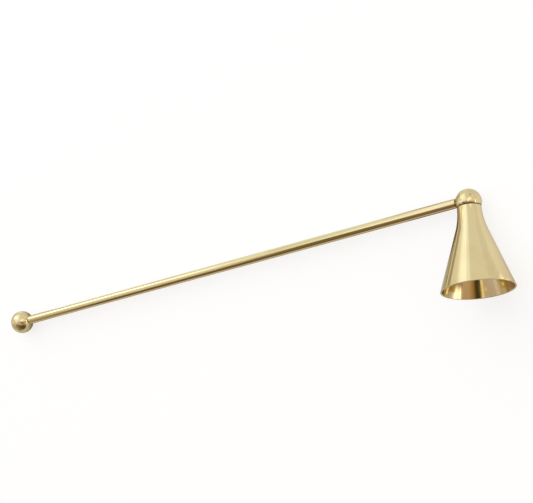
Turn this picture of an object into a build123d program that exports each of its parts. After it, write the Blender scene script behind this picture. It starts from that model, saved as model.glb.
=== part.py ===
from build123d import *
from math import asin, atan2, cos, degrees, hypot, sin, sqrt, tan
import os

# Candle snuffer, in millimetres, lying on its side as it does on a table.
# The rod runs along X from the end ball (-X) to the bell (+X), the end ball and the lowest point
# of the bell's mouth touch Z = 0, and the mouth faces -Y and a little upwards.
# The origin is under the middle of the whole object's box.

# Balls
ball_radius = 6.0

# Rod, measured along its own axis from the bell's axis
rod_radius = 2.25
rod_span = 275.0  # from the bell's axis to the middle of the end ball
rod_offset = 0.85  # the rod enters the head ball this far above its middle
rod_bevel = 0.3

# Threads, shown as plain round surfaces at their outer size
thread_radius = 1.5
thread_clearance = 0.03
relief_width = 0.5  # narrow groove between each thread and its shoulder
relief_depth = 0.3
tip_bevel = 0.3
end_spigot_length = 5.5
spigot_gap = 0.35  # between the rod's tip and the bell's screw, which meet inside the head ball
bore_run_on = 0.8  # how far a blind bore goes on past the tip in it
bore_lead_in = 0.2
seat_bevel = 0.15

# Bell, measured down its axis from the seat of the head ball
seat_drop = 2.4  # from the middle of the head ball down to its seat on the neck
mouth_radius = 17.0
bell_height = 38.7
flare_start = 5.8  # where the cone's line would cut the neck's line
wall = 0.8
crown_thickness = 1.6
neck_bevel = 0.2
rim_round = 0.15

# Screw and washer inside the bell
screw_length = 6.0
screw_head_radius = 2.75
screw_head_height = 2.0
screw_head_round = 0.3
slot_width = 0.8
slot_depth = 0.9
screw_hole_clearance = 0.1
washer_radius = 3.05
washer_thickness = 0.8
washer_gap = 0.5  # width of the washer's slanting split
washer_gap_slant = 25  # degrees

# Sizes that follow from the ones above
bore_radius = thread_radius + thread_clearance
relief_radius = thread_radius - relief_depth
screw_hole_radius = thread_radius + screw_hole_clearance
neck_radius = sqrt(ball_radius**2 - seat_drop**2)  # flush with the ball's flat
flare_angle = atan2(mouth_radius - neck_radius, bell_height - flare_start)
mouth_inner_radius = mouth_radius - wall / cos(flare_angle)

# The rounding of the rim's outer edge is part of a ring: its middle circle, from the two axes
ring_radius = mouth_radius - rim_round * (tan(flare_angle) + 1 / cos(flare_angle))
ring_drop = rod_offset + seat_drop + bell_height - rim_round

# The bell leans back until its rim and the end ball both rest on the table
lean = atan2(ring_radius, ring_drop) - asin((ball_radius - rim_round) / hypot(ring_radius, ring_drop))

# The whole box is centred on the origin
head_reach = ring_radius + rim_round
mouth_reach = ring_drop * cos(lean) + ring_radius * sin(lean) + rim_round
head_x = (ball_radius + rod_span - head_reach) / 2
rod_y = (mouth_reach - ball_radius) / 2
on_axes = Vector(head_x, rod_y, ball_radius)  # where the rod's axis crosses the bell's axis

# Planes and axes. The bell's Z points from its mouth to its ball, the rod's Z from bell to end ball
bell_up = Vector(0, cos(lean), -sin(lean))
ball_middle = on_axes - bell_up * rod_offset
head_plane = Plane(ball_middle, x_dir=(1, 0, 0), z_dir=bell_up)
head_profile = Plane(ball_middle, x_dir=(1, 0, 0), z_dir=-head_plane.y_dir)
head_axis = Axis(ball_middle, bell_up)
rod_plane = Plane(on_axes, x_dir=(0, 1, 0), z_dir=(-1, 0, 0))
rod_profile = Plane(on_axes, x_dir=(-1, 0, 0), z_dir=(0, 1, 0))
rod_axis = Axis(on_axes, (-1, 0, 0))

# Heights along the bell's axis from the middle of the head ball
seat = -seat_drop
crown_under = seat - crown_thickness
screw_seat = crown_under - washer_thickness
screw_tip = screw_seat + screw_length
mouth = seat - bell_height

# Distances along the rod from the bell's axis. Each shoulder just meets the edge of its ball's bore
head_shoulder = sqrt(ball_radius**2 - max(bore_radius - rod_offset, 0) ** 2)
head_spigot_length = head_shoulder - thread_radius - spigot_gap
end_shoulder = rod_span - sqrt(ball_radius**2 - bore_radius**2)
end_bore_bottom = end_shoulder + end_spigot_length + bore_run_on


def threaded_end(shoulder, outward, length):
    """Half outline of one end of the rod, from the full rod to the middle of its spigot's tip."""
    tip = shoulder + outward * length
    groove = shoulder + outward * relief_width
    return [
        (shoulder - outward * rod_bevel, rod_radius),
        (shoulder, rod_radius - rod_bevel),
        (shoulder, relief_radius),
        (groove, relief_radius),
        (groove, thread_radius),
        (tip - outward * tip_bevel, thread_radius),
        (tip, thread_radius - tip_bevel),
        (tip, 0),
    ]


# Bell: one turned shell, with the neck's concave curve tangent to the neck and to the cone
outer_flare_end = (
    neck_radius + flare_start * sin(flare_angle),
    seat - flare_start * (1 + cos(flare_angle)),
)
inner_flare_end = (
    outer_flare_end[0] - wall * cos(flare_angle),
    outer_flare_end[1] - wall * sin(flare_angle),
)

with BuildPart() as bell:
    with BuildSketch(head_profile):
        with BuildLine():
            outer_flare = TangentArc((neck_radius, seat), outer_flare_end, tangent=(0, -1))
            outer_cone = Line(outer_flare @ 1, (mouth_radius, mouth))
            rim = Line(outer_cone @ 1, (mouth_inner_radius, mouth))
            inner_cone = Line(rim @ 1, inner_flare_end)
            inner_flare = TangentArc(inner_cone @ 1, (neck_radius - wall, seat), tangent=inner_cone % 1)
            Line(inner_flare @ 1, outer_flare @ 0)
        make_face()
        with Locations((0, (seat + crown_under) / 2)):
            Rectangle(neck_radius - wall / 2, crown_thickness, align=(Align.MIN, Align.CENTER))
    revolve(axis=head_axis)
    with BuildSketch(head_plane.offset(seat)):
        Circle(screw_hole_radius)
    extrude(amount=-crown_thickness, mode=Mode.SUBTRACT)
    flat_faces = bell.faces().filter_by(head_plane).sort_by(head_axis)
    fillet(flat_faces[0].edges(), rim_round)
    chamfer(flat_faces[-1].edges().sort_by(SortBy.LENGTH)[-1], neck_bevel)
bell.part.label = "bell"

# Head ball: flat below for its seat, bored from below for the screw and from the side for the rod
with BuildPart() as head_ball:
    with BuildSketch(head_profile):
        Circle(ball_radius)
        Rectangle(ball_radius, ball_radius * 2, align=(Align.MAX, Align.CENTER), mode=Mode.SUBTRACT)
        with Locations((0, seat)):
            Rectangle(ball_radius * 2, ball_radius, align=(Align.CENTER, Align.MAX), mode=Mode.SUBTRACT)
    revolve(axis=head_axis)
    with BuildSketch(head_plane.offset(seat)):
        Circle(bore_radius)
    extrude(amount=screw_tip - seat + bore_run_on, mode=Mode.SUBTRACT)
    seat_edges = head_ball.faces().filter_by(head_plane).sort_by(head_axis)[0].edges().sort_by(SortBy.LENGTH)
    chamfer(seat_edges[0], bore_lead_in)
    chamfer(seat_edges[-1], seat_bevel)
    with BuildSketch(rod_plane):
        Circle(bore_radius)
    extrude(amount=ball_radius, mode=Mode.SUBTRACT)
head_ball.part.label = "head_ball"

# Rod: a straight bar with a relieved, threaded spigot turned on each end
with BuildPart() as handle_rod:
    with BuildSketch(rod_profile):
        with BuildLine():
            Polyline(
                threaded_end(head_shoulder, -1, head_spigot_length)[::-1]
                + threaded_end(end_shoulder, 1, end_spigot_length),
                close=True,
            )
        make_face()
    revolve(axis=rod_axis)
handle_rod.part.label = "handle_rod"

# End ball: a whole ball with one blind bore
with BuildPart() as end_ball:
    with BuildSketch(rod_profile):
        with Locations((rod_span, 0)):
            Circle(ball_radius)
            Rectangle(ball_radius * 2, ball_radius, align=(Align.CENTER, Align.MAX), mode=Mode.SUBTRACT)
    revolve(axis=rod_axis)
    with BuildSketch(rod_plane.offset(end_bore_bottom)):
        Circle(bore_radius)
    extrude(amount=rod_span - ball_radius - end_bore_bottom, mode=Mode.SUBTRACT)
end_ball.part.label = "end_ball"

# Screw: round head with a straight slot, put in from inside the bell
with BuildPart() as bell_screw:
    with BuildSketch(head_plane.offset(screw_seat)):
        Circle(screw_head_radius)
    extrude(amount=-screw_head_height)
    fillet(bell_screw.faces().sort_by(head_axis)[0].edges(), screw_head_round)
    with BuildSketch(head_plane.offset(screw_seat - screw_head_height)):
        Rectangle(screw_head_radius * 2, slot_width)
    extrude(amount=slot_depth, mode=Mode.SUBTRACT)
    with BuildSketch(head_plane.offset(screw_seat)):
        Circle(thread_radius)
    extrude(amount=screw_length)
    chamfer(bell_screw.faces().sort_by(head_axis)[-1].edges(), tip_bevel)
bell_screw.part.label = "bell_screw"

# Lock washer: a split spring ring, pressed flat between the screw's head and the crown
washer_middle = head_plane.offset(screw_seat + washer_thickness / 2)
with BuildPart() as lock_washer:
    with BuildSketch(head_plane.offset(screw_seat)):
        Circle(washer_radius)
        Circle(screw_hole_radius, mode=Mode.SUBTRACT)
    extrude(amount=washer_thickness)
    with BuildSketch(Plane(washer_middle.origin, x_dir=head_plane.y_dir, z_dir=head_plane.x_dir)):
        Rectangle(washer_gap, washer_thickness * 2, rotation=washer_gap_slant)
    extrude(amount=washer_radius, mode=Mode.SUBTRACT)
lock_washer.part.label = "lock_washer"

os.makedirs("parts", exist_ok=True)
export_step(bell.part, "parts/bell.step")
export_step(head_ball.part, "parts/head_ball.step")
export_step(handle_rod.part, "parts/handle_rod.step")
export_step(end_ball.part, "parts/end_ball.step")
export_step(bell_screw.part, "parts/bell_screw.step")
export_step(lock_washer.part, "parts/lock_washer.step")

print("lean of the bell, degrees:", round(degrees(lean), 3))
print("rod crosses the bell's axis at:", on_axes)
print("middle of the head ball:", ball_middle)
print("middle of the mouth:", head_plane.offset(mouth).origin)
print("flare angle, degrees:", round(degrees(flare_angle), 3))
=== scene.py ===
from math import acos, asin, atan2, cos, hypot, pi, radians, sin, sqrt, tan

import bpy
from mathutils import Matrix, Vector


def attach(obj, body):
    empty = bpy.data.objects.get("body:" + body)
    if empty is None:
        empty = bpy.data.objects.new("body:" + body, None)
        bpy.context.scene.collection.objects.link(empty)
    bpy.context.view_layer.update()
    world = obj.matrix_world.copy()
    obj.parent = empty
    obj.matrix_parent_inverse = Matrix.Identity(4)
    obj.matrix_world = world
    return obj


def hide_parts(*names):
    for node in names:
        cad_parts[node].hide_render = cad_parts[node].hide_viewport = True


# Candle snuffer: a flared brass bell square to a long rod, with a ball at each end of the rod.
# Every length is in metres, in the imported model's frame: it lies on the table at Z = 0, the rod
# runs along X towards the bell (+X), and the bell's mouth faces -Y and a little upwards.

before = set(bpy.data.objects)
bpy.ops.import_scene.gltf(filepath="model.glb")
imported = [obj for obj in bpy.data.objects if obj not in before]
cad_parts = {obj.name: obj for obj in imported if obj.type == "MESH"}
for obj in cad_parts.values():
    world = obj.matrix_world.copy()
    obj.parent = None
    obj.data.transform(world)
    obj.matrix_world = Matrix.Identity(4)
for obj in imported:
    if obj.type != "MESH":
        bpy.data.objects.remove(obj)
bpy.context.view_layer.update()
scene = bpy.context.scene
MM = 0.001

# Sizes of the turned pieces, as the solids have them
BALL_RADIUS = 6.0 * MM
ROD_RADIUS = 2.25 * MM
ROD_SPAN = 275.0 * MM  # from the bell's axis to the middle of the end ball
ROD_OFFSET = 0.85 * MM  # the rod enters the head ball this far above its middle
ROD_BEVEL = 0.3 * MM
THREAD_RADIUS = 1.5 * MM
BORE_RADIUS = 1.53 * MM
RELIEF_WIDTH = 0.5 * MM
RELIEF_RADIUS = 1.2 * MM
TIP_BEVEL = 0.3 * MM
END_SPIGOT_LENGTH = 5.5 * MM
SPIGOT_GAP = 0.35 * MM
BORE_RUN_ON = 0.8 * MM
BORE_LEAD_IN = 0.2 * MM
SEAT_BEVEL = 0.15 * MM
SEAT_DROP = 2.4 * MM  # from the middle of the head ball down to its seat on the neck
MOUTH_RADIUS = 17.0 * MM
BELL_HEIGHT = 38.7 * MM
FLARE_START = 5.8 * MM
WALL = 0.8 * MM
CROWN_THICKNESS = 1.6 * MM
CROWN_STRAIGHT = 0.4 * MM  # the inner wall runs straight this far down from the crown
NECK_BEVEL = 0.2 * MM
RIM_ROUND = 0.15 * MM
SCREW_LENGTH = 6.0 * MM
SCREW_HEAD_RADIUS = 2.75 * MM
SCREW_HEAD_HEIGHT = 2.0 * MM
SCREW_HEAD_ROUND = 0.3 * MM
SLOT_WIDTH = 0.8 * MM
SLOT_DEPTH = 0.9 * MM
SCREW_HOLE_RADIUS = 1.6 * MM
WASHER_RADIUS = 3.05 * MM
WASHER_THICKNESS = 0.8 * MM
WASHER_ROUND = 0.08 * MM
WASHER_GAP = 0.5 * MM
WASHER_GAP_SLANT = radians(25)

# How finely the pieces are turned: faces round each axis, and steps along each outline
BELL_SEGMENTS, BALL_SEGMENTS, ROD_SEGMENTS, SCREW_SEGMENTS, BORE_SEGMENTS = 256, 160, 128, 96, 64
NECK_STEPS, CONE_STEPS, HEAD_STEPS, END_STEPS, SMALL_ROUND_STEPS = 48, 24, 72, 96, 8
SHARP_ANGLE = radians(30)
SAME_PLACE = 1e-9
ON_SPHERE = 1e-6

# Sizes that follow from the ones above
neck_radius = sqrt(BALL_RADIUS**2 - SEAT_DROP**2)
flare_angle = atan2(MOUTH_RADIUS - neck_radius, BELL_HEIGHT - FLARE_START)
flare_radius = FLARE_START / tan(flare_angle / 2)
mouth_inner_radius = MOUTH_RADIUS - WALL / cos(flare_angle)
rim_reach = RIM_ROUND * (tan(flare_angle) + 1 / cos(flare_angle))
ring_radius = MOUTH_RADIUS - rim_reach
ring_drop = ROD_OFFSET + SEAT_DROP + BELL_HEIGHT - RIM_ROUND
lean = atan2(ring_radius, ring_drop) - asin((BALL_RADIUS - RIM_ROUND) / hypot(ring_radius, ring_drop))
mouth_reach = ring_drop * cos(lean) + ring_radius * sin(lean) + RIM_ROUND

# Heights along the bell's axis from the middle of the head ball
seat = -SEAT_DROP
crown_under = seat - CROWN_THICKNESS
screw_seat = crown_under - WASHER_THICKNESS
screw_tip = screw_seat + SCREW_LENGTH
mouth = seat - BELL_HEIGHT

# Distances along the rod from the bell's axis
head_shoulder = sqrt(BALL_RADIUS**2 - max(BORE_RADIUS - ROD_OFFSET, 0) ** 2)
head_tip = THREAD_RADIUS + SPIGOT_GAP
end_shoulder = ROD_SPAN - sqrt(BALL_RADIUS**2 - BORE_RADIUS**2)
end_tip = end_shoulder + END_SPIGOT_LENGTH
end_bore_bottom = end_tip + BORE_RUN_ON

# Places: where the rod's axis crosses the bell's axis, and the middles of the balls
on_axes = Vector((
    (BALL_RADIUS + ROD_SPAN - ring_radius - RIM_ROUND) / 2,
    (mouth_reach - BALL_RADIUS) / 2,
    BALL_RADIUS,
))
bell_up = Vector((0, cos(lean), -sin(lean)))
rod_up = Vector((1, 0, 0))
ball_middle = on_axes - bell_up * ROD_OFFSET
end_middle = on_axes - rod_up * ROD_SPAN


# Outlines of turned pieces

def line(start, end, steps=1):
    """Straight stretch of an outline: (radius, height) points, each with its outward direction."""
    start, end = Vector(start), Vector(end)
    run = (end - start).normalized()
    outward = Vector((-run.y, run.x))
    return [(start.lerp(end, i / steps), outward) for i in range(steps + 1)]


def path(*points):
    """Straight stretches from point to point."""
    return [line(a, b) for a, b in zip(points, points[1:])]


def arc(centre, radius, start, end, steps, hollow=False):
    """Round stretch of an outline from one angle to another, seen from inside if it is hollow."""
    made = []
    for i in range(steps + 1):
        angle = start + (end - start) * i / steps
        out = Vector((cos(angle), sin(angle)))
        made.append((Vector(centre) + out * radius, -out if hollow else out))
    return made


def across(axis):
    """Two directions square to an axis, which turn to the right round it."""
    first = Vector((1, 0, 0)) if abs(axis.x) < 0.5 else Vector((0, 1, 0))
    first = (first - axis * first.dot(axis)).normalized()
    return first, axis.cross(first)


def mesh_object(name, points, faces, normals):
    """A smooth mesh whose face corners have the given directions, which keeps true edges sharp."""
    mesh = bpy.data.meshes.new(name)
    mesh.from_pydata(points, [], faces)
    mesh.shade_smooth()
    mesh.normals_split_custom_set(normals)
    mesh.validate()
    made = bpy.data.objects.new(name, mesh)
    scene.collection.objects.link(made)
    return made


def turned(name, stretches, middle, axis, segments):
    """Turns an outline round an axis. An outline that ends where it starts makes a ring."""
    first, second = across(axis)
    rings, points, corners = [], [], []
    ends_meet = (stretches[0][0][0] - stretches[-1][-1][0]).length < SAME_PLACE

    def add_ring(place):
        radius, height = place
        start = len(points)
        count = segments if radius > SAME_PLACE else 1
        for j in range(count):
            turn = 2 * pi * j / segments
            points.append(middle + axis * height + (first * cos(turn) + second * sin(turn)) * radius)
        rings.append((start, count))

    add_ring(stretches[0][0][0])
    for s, stretch in enumerate(stretches):
        for i in range(1, len(stretch)):
            last = s == len(stretches) - 1 and i == len(stretch) - 1
            if not (last and ends_meet):
                add_ring(stretch[i][0])
            lower = 0 if last and ends_meet else len(rings) - 1
            upper = len(rings) - 1 if last and ends_meet else len(rings) - 2
            corners.append((upper, lower, stretch[i - 1][1], stretch[i][1]))

    def outward(flat, j):
        turn = 2 * pi * j / segments
        return (first * cos(turn) + second * sin(turn)) * flat.x + axis * flat.y

    faces, normals = [], []
    for upper, lower, upper_out, lower_out in corners:
        (u, u_count), (v, v_count) = rings[upper], rings[lower]
        for j in range(segments):
            k = (j + 1) % segments
            face = [u + j % u_count, v + j % v_count, v + k % v_count, u + k % u_count]
            outs = [
                outward(upper_out, j), outward(lower_out, j),
                outward(lower_out, j + 1), outward(upper_out, j + 1),
            ]
            if u_count == 1:
                face, outs = face[:3], outs[:3]
            elif v_count == 1:
                face, outs = [face[0], face[1], face[3]], [outs[0], outs[1], outs[3]]
            faces.append(face)
            normals += outs
    return mesh_object(name, points, faces, normals)


def plain_mesh(name, points, faces):
    """A mesh with no directions of its own."""
    mesh = bpy.data.meshes.new(name)
    mesh.from_pydata(points, [], faces)
    made = bpy.data.objects.new(name, mesh)
    scene.collection.objects.link(made)
    return made


def keep_edges(piece):
    """Smooth faces with sharp edges, in place of the directions that a cut leaves behind."""
    mesh = piece.data
    if "custom_normal" in mesh.attributes:
        mesh.attributes.remove(mesh.attributes["custom_normal"])
    mesh.shade_smooth()
    mesh.set_sharp_from_angle(angle=SHARP_ANGLE)


def block(name, middle, sides, axes):
    """A box with its sides along the three axes."""
    points = []
    for i in (-0.5, 0.5):
        for j in (-0.5, 0.5):
            for k in (-0.5, 0.5):
                corner = middle + axes[0] * sides[0] * i + axes[1] * sides[1] * j
                points.append(corner + axes[2] * sides[2] * k)
    faces = [(0, 1, 3, 2), (4, 6, 7, 5), (0, 4, 5, 1), (2, 3, 7, 6), (0, 2, 6, 4), (1, 5, 7, 3)]
    return plain_mesh(name, points, faces)


def cut(piece, tool):
    """Takes the tool's shape out of the piece, and removes the tool."""
    modifier = piece.modifiers.new("cut", "BOOLEAN")
    modifier.operation = "DIFFERENCE"
    modifier.solver = "EXACT"
    modifier.object = tool
    bpy.context.view_layer.update()
    mesh = bpy.data.meshes.new_from_object(piece.evaluated_get(bpy.context.evaluated_depsgraph_get()))
    piece.modifiers.clear()
    piece.data = mesh
    mesh.name = piece.name
    bpy.data.objects.remove(tool)


def round_off(piece, middle, radius):
    """Gives every face on a sphere its true directions, and every other face its flat one."""
    mesh = piece.data
    normals = []
    for face in mesh.polygons:
        corners = [mesh.vertices[v].co for v in face.vertices]
        on_sphere = all(abs((c - middle).length - radius) < ON_SPHERE for c in corners)
        normals += [(c - middle).normalized() if on_sphere else face.normal for c in corners]
    mesh.normals_split_custom_set(normals)


# Bell: one thin shell, turned inside and out, with a hole in its crown for the screw
curve_middle = (neck_radius + flare_radius, seat)
inner_radius = flare_radius + WALL
neck_start = asin(NECK_BEVEL / flare_radius)
inner_start = asin(CROWN_THICKNESS / inner_radius)
straight_end = asin((CROWN_THICKNESS + CROWN_STRAIGHT) / inner_radius)
rim_height = mouth + RIM_ROUND
rim_outer = (ring_radius, rim_height)
rim_inner = (mouth_inner_radius + RIM_ROUND * (1 - sin(flare_angle)) / cos(flare_angle), rim_height)


def from_curve(radius, angle):
    """A point on the neck's curve or beside it, at an angle down from the seat."""
    return Vector((curve_middle[0] - radius * cos(angle), curve_middle[1] - radius * sin(angle)))


def from_rim(centre, angle):
    """A point on one of the rim's two small rounds."""
    return Vector(centre) + RIM_ROUND * Vector((cos(angle), sin(angle)))


crown_corner = from_curve(inner_radius, inner_start)
bell_outline = [
    line((SCREW_HOLE_RADIUS, seat), (neck_radius - NECK_BEVEL, seat)),
    line((neck_radius - NECK_BEVEL, seat), from_curve(flare_radius, neck_start)),
    arc(curve_middle, flare_radius, pi + neck_start, pi + flare_angle, NECK_STEPS, hollow=True),
    line(from_curve(flare_radius, flare_angle), from_rim(rim_outer, flare_angle), CONE_STEPS),
    arc(rim_outer, RIM_ROUND, flare_angle, -pi / 2, SMALL_ROUND_STEPS),
    line(from_rim(rim_outer, -pi / 2), from_rim(rim_inner, -pi / 2)),
    arc(rim_inner, RIM_ROUND, -pi / 2, flare_angle - pi, SMALL_ROUND_STEPS),
    line(from_rim(rim_inner, flare_angle - pi), from_curve(inner_radius, flare_angle), CONE_STEPS),
    arc(curve_middle, inner_radius, pi + flare_angle, pi + straight_end, NECK_STEPS),
    line(from_curve(inner_radius, straight_end), crown_corner),
    line(crown_corner, (SCREW_HOLE_RADIUS, crown_under)),
    line((SCREW_HOLE_RADIUS, crown_under), (SCREW_HOLE_RADIUS, seat)),
]
OUTER_STRETCHES = 7  # the rest of the outline is the bell's inside
bell = turned("bell_shell", bell_outline, ball_middle, bell_up, BELL_SEGMENTS)
outer_faces = BELL_SEGMENTS * sum(len(stretch) - 1 for stretch in bell_outline[:OUTER_STRETCHES])

# Head ball: flat below, bored from below for the screw and from the side for the rod
seat_angle = -asin(SEAT_DROP / BALL_RADIUS)
bevel_angle = seat_angle + SEAT_BEVEL / BALL_RADIUS
bevel_top = (BALL_RADIUS * cos(bevel_angle), BALL_RADIUS * sin(bevel_angle))
bore_top = screw_tip + BORE_RUN_ON
head_outline = [
    arc((0, 0), BALL_RADIUS, pi / 2, bevel_angle, HEAD_STEPS),
    *path(
        bevel_top,
        (neck_radius - SEAT_BEVEL, seat),
        (BORE_RADIUS + BORE_LEAD_IN, seat),
        (BORE_RADIUS, seat + BORE_LEAD_IN),
        (BORE_RADIUS, bore_top),
        (0, bore_top),
    ),
]
head_ball = turned("head_ball_turned", head_outline, ball_middle, bell_up, BALL_SEGMENTS)
side_bore = turned(
    "side_bore",
    path((0, 0), (BORE_RADIUS, 0), (BORE_RADIUS, -2 * BALL_RADIUS), (0, -2 * BALL_RADIUS)),
    on_axes,
    rod_up,
    BORE_SEGMENTS,
)
cut(head_ball, side_bore)
round_off(head_ball, ball_middle, BALL_RADIUS)

# Rod: a straight bar with a relieved, threaded spigot on each end
rod_outline = path(
    (0, -head_tip),
    (THREAD_RADIUS - TIP_BEVEL, -head_tip),
    (THREAD_RADIUS, -head_tip - TIP_BEVEL),
    (THREAD_RADIUS, -head_shoulder + RELIEF_WIDTH),
    (RELIEF_RADIUS, -head_shoulder + RELIEF_WIDTH),
    (RELIEF_RADIUS, -head_shoulder),
    (ROD_RADIUS - ROD_BEVEL, -head_shoulder),
    (ROD_RADIUS, -head_shoulder - ROD_BEVEL),
    (ROD_RADIUS, -end_shoulder + ROD_BEVEL),
    (ROD_RADIUS - ROD_BEVEL, -end_shoulder),
    (RELIEF_RADIUS, -end_shoulder),
    (RELIEF_RADIUS, -end_shoulder - RELIEF_WIDTH),
    (THREAD_RADIUS, -end_shoulder - RELIEF_WIDTH),
    (THREAD_RADIUS, -end_tip + TIP_BEVEL),
    (THREAD_RADIUS - TIP_BEVEL, -end_tip),
    (0, -end_tip),
)
rod = turned("rod_turned", rod_outline, on_axes, rod_up, ROD_SEGMENTS)

# End ball: a whole ball with one blind bore
bore_edge = acos(BORE_RADIUS / BALL_RADIUS)
bore_bottom = ROD_SPAN - end_bore_bottom
end_outline = [
    *path((0, bore_bottom), (BORE_RADIUS, bore_bottom), (BORE_RADIUS, BALL_RADIUS * sin(bore_edge))),
    arc((0, 0), BALL_RADIUS, bore_edge, -pi / 2, END_STEPS),
]
end_ball = turned("end_ball_turned", end_outline, end_middle, rod_up, BALL_SEGMENTS)

# Screw: round head with a straight slot, put in from inside the bell
screw_under = screw_seat - SCREW_HEAD_HEIGHT
head_round = (SCREW_HEAD_RADIUS - SCREW_HEAD_ROUND, screw_under + SCREW_HEAD_ROUND)
screw_outline = [
    *path(
        (0, screw_tip),
        (THREAD_RADIUS - TIP_BEVEL, screw_tip),
        (THREAD_RADIUS, screw_tip - TIP_BEVEL),
        (THREAD_RADIUS, screw_seat),
        (SCREW_HEAD_RADIUS, screw_seat),
        (SCREW_HEAD_RADIUS, screw_under + SCREW_HEAD_ROUND),
    ),
    arc(head_round, SCREW_HEAD_ROUND, 0, -pi / 2, SMALL_ROUND_STEPS),
    line((SCREW_HEAD_RADIUS - SCREW_HEAD_ROUND, screw_under), (0, screw_under)),
]
screw = turned("bell_screw_slotted", screw_outline, ball_middle, bell_up, SCREW_SEGMENTS)
first, second = across(bell_up)
screw_slot = block(
    "screw_slot",
    ball_middle + bell_up * screw_under,
    (4 * SCREW_HEAD_RADIUS, SLOT_WIDTH, 2 * SLOT_DEPTH),
    (first, second, bell_up),
)
cut(screw, screw_slot)
keep_edges(screw)

# Lock washer: a split ring whose two ends are cut on a slant
def split_ring(name, middle, axis, segments):
    """A flat ring with softened edges and a slanting split on its +X side."""
    first, second = across(axis)
    half = WASHER_THICKNESS / 2
    inner, outer = SCREW_HOLE_RADIUS, WASHER_RADIUS
    section = [
        (inner, half - WASHER_ROUND), (inner + WASHER_ROUND, half),
        (outer - WASHER_ROUND, half), (outer, half - WASHER_ROUND),
        (outer, WASHER_ROUND - half), (outer - WASHER_ROUND, -half),
        (inner + WASHER_ROUND, -half), (inner, WASHER_ROUND - half),
    ]
    points, faces, count = [], [], len(section)
    side = WASHER_GAP / 2 / cos(WASHER_GAP_SLANT)
    for i in range(segments + 1):
        for radius, height in section:
            middle_of_gap = -height * tan(WASHER_GAP_SLANT)
            start = asin((middle_of_gap + side) / radius)
            end = 2 * pi + asin((middle_of_gap - side) / radius)
            turn = start + (end - start) * i / segments
            points.append(middle + axis * height + (first * cos(turn) + second * sin(turn)) * radius)
    for i in range(segments):
        for j in range(count):
            k = (j + 1) % count
            a, b = i * count, (i + 1) * count
            faces.append([a + j, a + k, b + k, b + j])
    faces.append(list(range(count))[::-1])
    faces.append([segments * count + j for j in range(count)])
    made = plain_mesh(name, points, faces)
    keep_edges(made)
    return made


washer_middle = ball_middle + bell_up * (screw_seat + WASHER_THICKNESS / 2)
washer = split_ring("lock_washer_split", washer_middle, bell_up, SCREW_SEGMENTS)

# Each piece stands for its solid, whose CAD node is hidden, and rides on the one body
for piece, node, slot in (
    (bell, "bell", "bell_brass"),
    (head_ball, "head_ball", "ball_brass"),
    (rod, "handle_rod", "rod_brass"),
    (end_ball, "end_ball", "ball_brass"),
    (screw, "bell_screw", "screw_brass"),
    (washer, "lock_washer", "washer_steel"),
):
    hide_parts(node)
    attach(piece, "root")

# Materials
MIX_SOCKETS, MIX_RESULT = (0, 6, 7), 2  # a Mix node's amount and two colours, and the mixed colour


class Graph:
    """Adds shader nodes to a tree. Inputs are values or the outputs of other nodes."""

    def __init__(self, tree):
        self.tree = tree
        tree.nodes.clear()

    def add(self, kind, *inputs, out=0, **settings):
        node = self.tree.nodes.new("ShaderNode" + kind)
        for name, value in settings.items():
            setattr(node, name, value)
        for socket, value in zip(node.inputs, inputs):
            self.set(socket, value)
        return node.outputs[out] if node.outputs else node

    def set(self, socket, value):
        if isinstance(value, bpy.types.NodeSocket):
            self.tree.links.new(value, socket)
        elif value is not None:
            socket.default_value = value

    def place(self):
        """Where a point of the surface is, in the object's own coordinates."""
        return self.add("TexCoord").node.outputs["Object"]

    def math(self, operation, *inputs, clamp=False):
        return self.add("Math", *inputs, operation=operation, use_clamp=clamp)

    def vector(self, operation, *inputs):
        out = 1 if operation in ("DOT_PRODUCT", "LENGTH") else 0
        return self.add("VectorMath", *inputs, operation=operation, out=out)

    def along(self, place, point, axis):
        """How far a place lies from a point, measured along an axis."""
        return self.vector("DOT_PRODUCT", self.vector("SUBTRACT", place, tuple(point)), tuple(axis))

    def ramp(self, value, low, high, to_low=0.0, to_high=1.0):
        """The value's way from low to high, with soft ends."""
        return self.add("MapRange", value, low, high, to_low, to_high, interpolation_type="SMOOTHSTEP")

    def blend(self, amount, first, second):
        node = self.tree.nodes.new("ShaderNodeMix")
        node.data_type = "RGBA"
        for index, value in zip(MIX_SOCKETS, (amount, first, second)):
            self.set(node.inputs[index], value)
        return node.outputs[MIX_RESULT]


# Noise in the metal: features per metre, detail and roughness
TARNISH = (70.0, 3.0, 0.55)
MOTTLE = (900.0, 2.0, 0.5)
HAZE = (260.0, 4.0, 0.6)
PIT_EDGE = (3000.0, 2.0, 0.5)
MARKS_ALONG = (5000.0, 2.0, 0.5)
MARKS_ROUND = (6000.0, 2.0, 0.5)

# How strongly each shows
TARNISH_FROM, TARNISH_TO, TARNISH_SHARE = 0.42, 0.72, 0.35
HAZE_FROM, HAZE_TO = 0.35, 0.75
HAZE_ROUGHNESS, MOTTLE_ROUGHNESS, DULL_ROUGHNESS = 0.03, 0.02, 0.25
PAINTED_SHADE_SHARE = 0.85
PIT_FROM, PIT_TO, PIT_UNEVENNESS = 0.75, 1.25, 0.5
MARK_STRETCH = 0.02
MARK_STRENGTH, MARK_DEPTH = 0.12, 0.004 * MM


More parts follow.
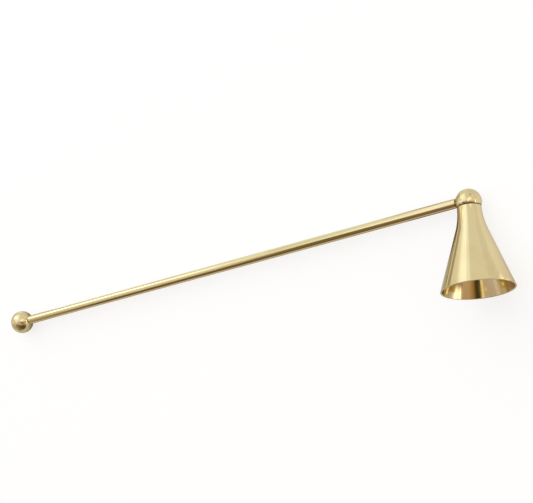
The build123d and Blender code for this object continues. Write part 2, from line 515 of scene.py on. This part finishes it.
def painted_shade_places(g, place, recesses, pit):
    """1 where painted shade darkens the metal to brown and makes it rougher, or None where a material
    has no such place.
    """
    painted_shade_and_dullness = None
    for point, axis, near, far in recesses:
        gap = g.ramp(g.math("ABSOLUTE", g.along(place, point, axis)), near, far, 1.0, 0.0)
        painted_shade_and_dullness = gap if painted_shade_and_dullness is None else g.math("MAXIMUM", painted_shade_and_dullness, gap)
    if pit:
        point, axes = pit
        sides = [g.math("MULTIPLY", g.along(place, point, a.normalized()), 1 / a.length) for a in axes]
        spread = g.vector("LENGTH", g.add("CombineXYZ", *sides))
        edge = g.add("TexNoise", place, None, *PIT_EDGE)
        spread = g.math("MULTIPLY_ADD", edge, PIT_UNEVENNESS, spread)
        spot = g.ramp(spread, PIT_FROM, PIT_TO, 1.0, 0.0)
        painted_shade_and_dullness = spot if painted_shade_and_dullness is None else g.math("MAXIMUM", painted_shade_and_dullness, spot)
    return painted_shade_and_dullness


def fine_marks(g, place, lines):
    """Marks that go round an axis, or along the rod if there is none."""
    if lines is None:
        stretched = g.add("Mapping", place, None, None, (MARK_STRETCH, 1, 1))
        return g.add("TexNoise", stretched, None, *MARKS_ALONG)
    return g.add("TexNoise", None, g.along(place, *lines), *MARKS_ROUND, noise_dimensions="1D")


def metal(name, colour, shade, roughness, edge, lines=None, recesses=(), pit=None):
    """Metal with faint tarnish and polishing marks, and painted shade in its recesses and pit.

    lines: (point, axis) that fine turning marks go round, or None for marks along the rod.
    recesses: (point, axis, near, far) planes; painted brown shade and rougher within near, clear beyond
    far.
    pit: (point, three half axes) of one small pit, painted dark as its shade."""
    material = bpy.data.materials.new(name)
    material.use_nodes = True
    g = Graph(material.node_tree)
    place = g.place()
    tarnish = g.ramp(g.add("TexNoise", place, None, *TARNISH), TARNISH_FROM, TARNISH_TO)
    mottle = g.add("TexNoise", place, None, *MOTTLE)
    haze = g.ramp(g.add("TexNoise", place, None, *HAZE), HAZE_FROM, HAZE_TO)
    tint = g.blend(g.math("MULTIPLY", tarnish, TARNISH_SHARE), (*colour, 1), (*shade, 1))
    rough = g.math("MULTIPLY_ADD", haze, HAZE_ROUGHNESS, roughness)
    rough = g.math("MULTIPLY_ADD", mottle, MOTTLE_ROUGHNESS, rough)
    # Painted shade: the recesses and the pit are darkened to brown and made rougher
    painted_shade_and_dullness = painted_shade_places(g, place, recesses, pit)
    if painted_shade_and_dullness is not None:
        tint = g.blend(g.math("MULTIPLY", painted_shade_and_dullness, PAINTED_SHADE_SHARE), tint, (*PAINTED_SHADE_COLOUR, 1))
        rough = g.math("MULTIPLY_ADD", painted_shade_and_dullness, DULL_ROUGHNESS, rough)
    shader = g.add("BsdfPrincipled").node
    shader.inputs["Metallic"].default_value = 1
    shader.inputs["Specular Tint"].default_value = edge
    g.set(shader.inputs["Base Color"], tint)
    g.set(shader.inputs["Roughness"], rough)
    bump = g.add("Bump", MARK_STRENGTH, MARK_DEPTH, None, fine_marks(g, place, lines))
    g.set(shader.inputs["Normal"], bump)
    g.add("OutputMaterial", shader.outputs[0])
    return material


BRASS = (0.675, 0.56, 0.305)
BRASS_SHADE = (0.60, 0.46, 0.22)
# A slightly darker copy of the brass for the bell's inside and the screw in it: painted shade
INSIDE = (0.65, 0.52, 0.28)
INSIDE_SHADE = (0.56, 0.40, 0.20)
# Brown painted as shade in the gaps, the slot and the pit
PAINTED_SHADE_COLOUR = (0.16, 0.10, 0.045)
BRASS_EDGE = (0.74, 0.74, 0.72, 1)
ZINC = (0.60, 0.61, 0.60)
ZINC_SHADE = (0.48, 0.47, 0.43)
ZINC_EDGE = (0.9, 0.9, 0.9, 1)
POLISHED, SPUN, TURNED, PLATED = 0.06, 0.08, 0.20, 0.30

# Recesses with painted shade: how far from its middle plane each is painted brown and rougher, and
# where it ends
NECK_PAINTED_SHADE = (0.12 * MM, 0.42 * MM)
ROD_PAINTED_SHADE = (0.1 * MM, 0.3 * MM)
SLOT_PAINTED_SHADE = (0.1 * MM, 0.7 * MM)
ROD_SHADE_INSET = 0.1 * MM
round_bell = (ball_middle, bell_up)
round_end = (end_middle, rod_up)
# Painted shade in the crease under the head ball and in the rings where the rod meets the balls
neck_gap = (ball_middle + bell_up * seat, bell_up, *NECK_PAINTED_SHADE)
head_gap = (on_axes - rod_up * (head_shoulder - ROD_SHADE_INSET), rod_up, *ROD_PAINTED_SHADE)
end_gap = (on_axes - rod_up * (end_shoulder + ROD_SHADE_INSET), rod_up, *ROD_PAINTED_SHADE)
# The slot's floor is rougher, as it is not polished; its dark brown is painted shade
slot_floor = (ball_middle + bell_up * (screw_under + SLOT_DEPTH), bell_up, *SLOT_PAINTED_SHADE)

# A small casting pit on the head ball, above the highlights: no hollow is cut, its dark is painted
# shade
PIT_HALF_WIDTH, PIT_HALF_HEIGHT, PIT_HALF_DEPTH = 0.3 * MM, 0.8 * MM, 0.5 * MM
pit_out = Vector((0.59, 0.44, 0.68)).normalized()
pit_side = bell_up.cross(pit_out).normalized()
pit_rise = pit_out.cross(pit_side)
pit_axes = (pit_side * PIT_HALF_WIDTH, pit_rise * PIT_HALF_HEIGHT, pit_out * PIT_HALF_DEPTH)
pit = (ball_middle + pit_out * BALL_RADIUS, pit_axes)

brass = (BRASS, BRASS_SHADE, POLISHED, BRASS_EDGE)
head_brass = metal("head_ball_brass", *brass, round_bell, [neck_gap], pit)
bell_brass = metal("bell_brass", *brass, round_bell, [neck_gap])
inside_brass = metal("bell_inside_brass", INSIDE, INSIDE_SHADE, SPUN, BRASS_EDGE, round_bell)
rod_brass = metal("rod_brass", *brass, None, [head_gap, end_gap])
end_brass = metal("end_ball_brass", *brass, round_end)
screw_brass = metal("screw_brass", INSIDE, INSIDE_SHADE, TURNED, BRASS_EDGE, round_bell, [slot_floor])
washer_steel = metal("washer_steel", ZINC, ZINC_SHADE, PLATED, ZINC_EDGE, round_bell)
for piece, *materials in (
    (bell, bell_brass, inside_brass),
    (head_ball, head_brass),
    (rod, rod_brass),
    (end_ball, end_brass),
    (screw, screw_brass),
    (washer, washer_steel),
):
    piece.data.materials.clear()
    for material in materials:
        piece.data.materials.append(material)
for face in bell.data.polygons:
    face.material_index = 0 if face.index < outer_faces else 1

# Studio: pale table, white room, soft boxes and darker cards, which the camera doesn't see
# name: azimuth from +Y to +X and elevation in degrees, distance, half width and half height for
# a distance of 1, soft left, right and level edges, colour
CARDS = {
    "right_wall": (106, 35, 3.7, 0.21, 0.55, 0.11, 0.10, 0.21, (0.67, 0.52, 0.38)),
    "left_wall": (-105, 18, 3.7, 0.27, 0.61, 0.11, 0.15, 0.17, (0.70, 0.60, 0.47)),
    "ceiling": (9, 90, 3.8, 0.68, 0.48, 0.08, 0.20, 0.19, (0.72, 0.66, 0.66)),
    "dark_back": (-183, 25, 3.3, 1.19, 0.68, 0.15, 0.16, 0.15, (0.47, 0.39, 0.32)),
    "dark_left": (-158, 39, 3.1, 0.50, 0.55, 0.10, 0.13, 0.12, (0.27, 0.19, 0.12)),
    "dark_right": (163, 16, 3.0, 0.40, 0.43, 0.11, 0.22, 0.12, (0.15, 0.13, 0.09)),
    "left_glow": (-101, 54, 2.95, 0.12, 0.13, 0.08, 0.08, 0.08, (0.88, 0.82, 0.92)),
    "brown_edge": (114, 49, 2.9, 0.22, 0.18, 0.04, 0.04, 0.19, (0.43, 0.26, 0.08)),
    "camera_shade": (112, 63.5, 2.6, 0.06, 0.26, 0.04, 0.04, 0.09, (0.05, 0.04, 0.02)),
    "stripe": (124, 70.5, 2.4, 0.033, 0.12, 0.012, 0.03, 0.04, (1.45, 1.27, 0.72)),
    "key": (-24.5, 43.5, 2.7, 0.48, 0.82, 0.14, 0.065, 0.31, (1.24, 1.30, 1.36)),
    "key_edge": (-22, 38, 1.9, 0.265, 0.42, 0.08, 0.04, 0.09, (1.50, 1.61, 1.76)),
    "key_core": (-40, 30, 1.6, 0.08, 0.135, 0.06, 0.06, 0.06, (2.9, 3.0, 3.1)),
    "right_light": (97, 0.5, 2.1, 0.22, 0.07, 0.025, 0.045, 0.035, (3.4, 3.1, 2.9)),
    "small_light": (62.5, 48.5, 1.95, 0.195, 0.34, 0.02, 0.045, 0.09, (1.64, 1.54, 1.43)),
}


def by_angle(azimuth, elevation):
    """A direction from the middle of the object; azimuth turns from +Y to +X."""
    a, e = radians(azimuth), radians(elevation)
    return Vector((sin(a) * cos(e), cos(a) * cos(e), sin(e)))


def rectangle(name, half_width, half_height, material):
    """A flat sheet of the studio, lying on the table with its middle at the origin."""
    corners = [(x * half_width, y * half_height, 0) for x, y in ((-1, -1), (1, -1), (1, 1), (-1, 1))]
    made = plain_mesh(name, corners, [(0, 1, 2, 3)])
    made.data.materials.append(material)
    return made


def card(name, middle, away, half_width, half_height, colour, left, right, low, high, side=None):
    """A lit or dark card that faces against the direction away, with soft edges."""
    side = side or Vector((away.y, -away.x, 0)).normalized()
    rise = side.cross(away)
    material = bpy.data.materials.new(name)
    material.use_nodes = True
    g = Graph(material.node_tree)
    place = g.add("SeparateXYZ", g.place()).node
    cover = None
    for value, half, low_edge, high_edge in (
        (place.outputs[0], half_width, left, right),
        (place.outputs[1], half_height, low, high),
    ):
        if low_edge:
            edge = g.ramp(value, -half - low_edge, -half + low_edge)
            cover = edge if cover is None else g.math("MULTIPLY", cover, edge)
        edge = g.ramp(value, half - high_edge, half + high_edge, 1.0, 0.0)
        cover = edge if cover is None else g.math("MULTIPLY", cover, edge)
    glow = g.add("Emission", (*colour, 1), 1.0)
    g.add("OutputMaterial", g.add("MixShader", cover, g.add("BsdfTransparent"), glow))
    made = rectangle(name, half_width + max(left, right), half_height + max(low, high), material)
    made.matrix_world = Matrix.Translation(middle) @ Matrix((side, rise, -away)).transposed().to_4x4()
    made.visible_camera = False
    return made


for name, (azimuth, elevation, distance, *sizes, colour) in CARDS.items():
    half_width, half_height, left, right, level = [size * distance for size in sizes]
    away = by_angle(azimuth, elevation)
    card(name, away * distance, away, half_width, half_height, colour, left, right, level, level)

# Small near cards, which only show in the metal, in millimetres
# name: middle, the point it faces, half width, half height, soft sides, soft low and high edges, colour
NEAR = {
    "low_strip": ((169, -25, 4.5), (132, -25, 4.5), 25, 4.5, 4, 0, 1.5, (1.9, 1.9, 1.9)),
    "left_flag": ((29, 79, 12), (111, 2, 12), 38, 12, 6, 0, 4, (0.54, 0.46, 0.36)),
    "mouth_strip": ((145, -34, 2.5), (119, -22, 2.5), 11, 2.5, 3, 0, 0.8, (2.4, 2.5, 2.6)),
    "mouth_fill": ((132, -170, 50), (132, -20, 12), 45, 40, 20, 15, 20, (0.95, 0.92, 0.88)),
    "rod_light": ((-292, 227, 148), (-90, 19, 6), 64, 45, 14, 12, 12, (3.1, 3.3, 3.7)),
    "end_fill": ((-176, -28, 46), (-143, 19, 6), 26, 24, 14, 14, 14, (0.50, 0.43, 0.32)),
    "rod_flag": ((-20, 112, 76), (60, 19, 6), 56, 50, 35, 67, 67, (0.98, 0.95, 0.84)),
    "rod_dark": ((-68, -55.5, 49), (-45, 19, 6), 104, 11.5, 27, 29, 29, (0.08, 0.07, 0.03)),
    "rod_edge": ((26.5, 26.5, 3), (26, 19, 4), 70, 6, 14, 5, 5, (1.20, 1.36, 1.37)),
    "rod_line": ((29, 7, 52), (29.5, 19, 6), 40, 12.5, 35, 6, 6, (0.21, 0.19, 0.06)),
    "rod_spark": ((56, 42, 71.5), (51, 19, 6), 31, 8.5, 55, 2.5, 2.5, (1.71, 1.79, 2.20)),
    "mouth_dark": ((139.5, -23, 4.5), (119, -16, 7), 2, 6.3, 2.4, 0.7, 0.7, (0.41, 0.26, 0.17)),
    "mouth_left": ((127.3, -21.2, 6), (137.4, -21.8, 2), 2.4, 1.3, 0.9, 1, 1, (0.46, 0.33, 0.07)),
    "mouth_glint": ((128.5, -21.8, 6), (137.4, -21.8, 2), 0.8, 0.25, 0.3, 0.2, 0.2, (1.35, 1.10, 0.32)),
    "top_shade": ((122, 15.5, 65.5), (131, 14, 9), 8.5, 22, 2.5, 2, 2, (0.33, 0.22, 0.15)),
}
# The same, lying on the table
# name: middle, half length along X, half width along Y, soft edges, colour
LYING = {
    "rod_shade": ((76, 21), 36, 19, 10, (0.62, 0.57, 0.47)),
    "neck_shade": ((109, 14), 13, 9, 5, (0.20, 0.13, 0.09)),
    "head_glow": ((160, 10.5), 19.5, 17.5, 13, (1.08, 1.08, 1.11)),
    "end_shade": ((-136, 19.5), 8, 8.5, 9, (0.27, 0.18, 0.05)),
}
TABLE_GAP = 0.05 * MM  # from the table to the first, and from each to the next
small_cards = []
for name, (middle, faces, *sizes, colour) in NEAR.items():
    half_width, half_height, soft_side, soft_low, soft_high = [size * MM for size in sizes]
    away = (Vector(middle) - Vector(faces)).normalized()
    small_cards.append(card(
        name, Vector(middle) * MM, away, half_width, half_height, colour,
        soft_side, soft_side, soft_low, soft_high,
    ))
for layer, (name, ((x, y), *sizes, colour)) in enumerate(LYING.items(), start=1):
    half_length, half_width, soft = [size * MM for size in sizes]
    small_cards.append(card(
        name, Vector((x * MM, y * MM, layer * TABLE_GAP)), Vector((0, 0, -1)),
        half_length, half_width, colour, soft, soft, soft, soft, side=Vector((1, 0, 0)),
    ))
for made in small_cards:
    made.visible_diffuse = False
    made.visible_shadow = False

WHITE = (1, 1, 1, 1)


def shown_white(g, way):
    """1 where the camera, gloss or clear material looks, 0 where light is gathered."""
    seen = g.math("ADD", way.outputs["Is Camera Ray"], way.outputs["Is Glossy Ray"], clamp=True)
    return g.math("ADD", seen, way.outputs["Is Transmission Ray"], clamp=True)


def white_table(g, shade, glow):
    """White that keeps the object's shadow: part lit, part glowing."""
    lit = g.add("BsdfDiffuse", (shade, shade, shade, 1))
    return g.add("AddShader", lit, g.add("Emission", WHITE, glow))


TABLE_COLOUR = (0.80, 0.80, 0.79, 1)
TABLE_SHADED, TABLE_GLOW = 0.30, 0.76
MIRRORED_SHADED, MIRRORED_GLOW = 0.50, 0.50
TABLE_GLOSS, TABLE_ROUGHNESS = 0.28, 0.10
TABLE_REACH = 6.0
material = bpy.data.materials.new("table")
material.use_nodes = True
g = Graph(material.node_tree)
way = g.add("LightPath").node
in_metal = g.add(
    "MixShader", TABLE_GLOSS, white_table(g, MIRRORED_SHADED, MIRRORED_GLOW),
    g.add("BsdfAnisotropic", WHITE, TABLE_ROUGHNESS),
)
in_view = white_table(g, TABLE_SHADED, TABLE_GLOW)
shown = g.add("MixShader", way.outputs["Is Camera Ray"], in_metal, in_view)
lit = g.add("BsdfDiffuse", TABLE_COLOUR)
g.add("OutputMaterial", g.add("MixShader", shown_white(g, way), lit, shown))
rectangle("table", TABLE_REACH, TABLE_REACH, material)

ROOM = (0.85, 0.85, 0.85, 1)
world = bpy.data.worlds.new("studio")
scene.world = world
world.use_nodes = True
g = Graph(world.node_tree)
lit = g.add("Background", ROOM, 1.0)
shown = g.add("Background", WHITE, 1.0)
g.add("OutputWorld", g.add("MixShader", shown_white(g, g.add("LightPath").node), lit, shown))

# Camera, at the photograph's viewing angle
PHOTO_WIDTH, FOCAL_LENGTH = 533, 1600  # in pixels
SENSOR_WIDTH = 36
LOOK_AT = Vector((20.65, 21.18, 6.0)) * MM
VIEW_DISTANCE = 780.5 * MM
VIEW_AZIMUTH, VIEW_ELEVATION, VIEW_ROLL = 98.87, 56.98, -94.84
NEAREST_SEEN = 0.05
camera_data = bpy.data.cameras.new("camera")
camera_data.sensor_width = SENSOR_WIDTH
camera_data.lens = FOCAL_LENGTH / PHOTO_WIDTH * SENSOR_WIDTH
camera_data.clip_start = NEAREST_SEEN
camera = bpy.data.objects.new("camera", camera_data)
back = by_angle(VIEW_AZIMUTH, VIEW_ELEVATION)
level = Vector((-back.y, back.x, 0)).normalized()
facing = Matrix((level, back.cross(level), back)).transposed()
facing = facing @ Matrix.Rotation(radians(VIEW_ROLL), 3, "Z")
camera.matrix_world = Matrix.Translation(LOOK_AT + back * VIEW_DISTANCE) @ facing.to_4x4()
scene.collection.objects.link(camera)
scene.camera = camera
scene.view_settings.view_transform = "Standard"
